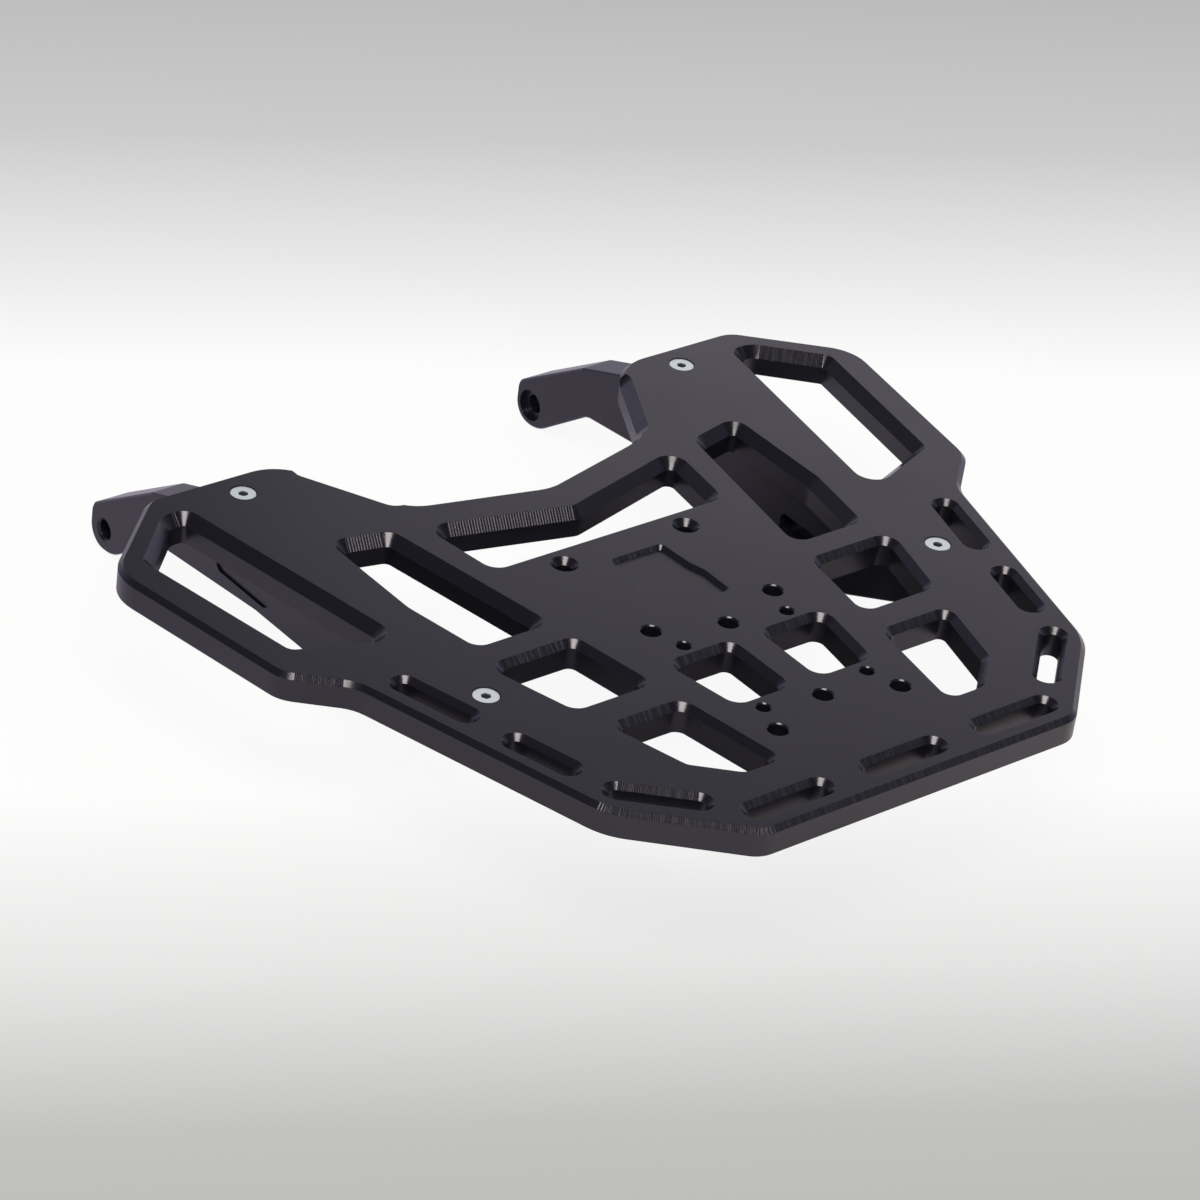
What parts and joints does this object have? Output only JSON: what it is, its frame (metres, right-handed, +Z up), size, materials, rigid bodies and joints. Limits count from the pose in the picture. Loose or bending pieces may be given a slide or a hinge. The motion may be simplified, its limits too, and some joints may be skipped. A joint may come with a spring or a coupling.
{
  "type": "motorcycle rear luggage rack",
  "caption": "Flat machined rear luggage rack plate with strap slots, grip windows and fixing holes, on side arms with cross bores for the bike frame.",
  "frame": {"origin": "On the top face of the plate, at the centre of the four case holes.", "axes": "+X to the right, +Y forward towards the seat, +Z up out of the top face."},
  "size_m": [0.404, 0.399, 0.0754],
  "materials": {
    "plate_anodised": "satin black anodised, machined",
    "arm_anodised": "satin black anodised, machined",
    "screw_zinc": "blue-white zinc plate"
  },
  "bodies": {
    "root": {"top_plate": "plate_anodised", "left_arm": "arm_anodised", "right_arm": "arm_anodised", "plate_screws": "screw_zinc"}
  },
  "joints": []
}
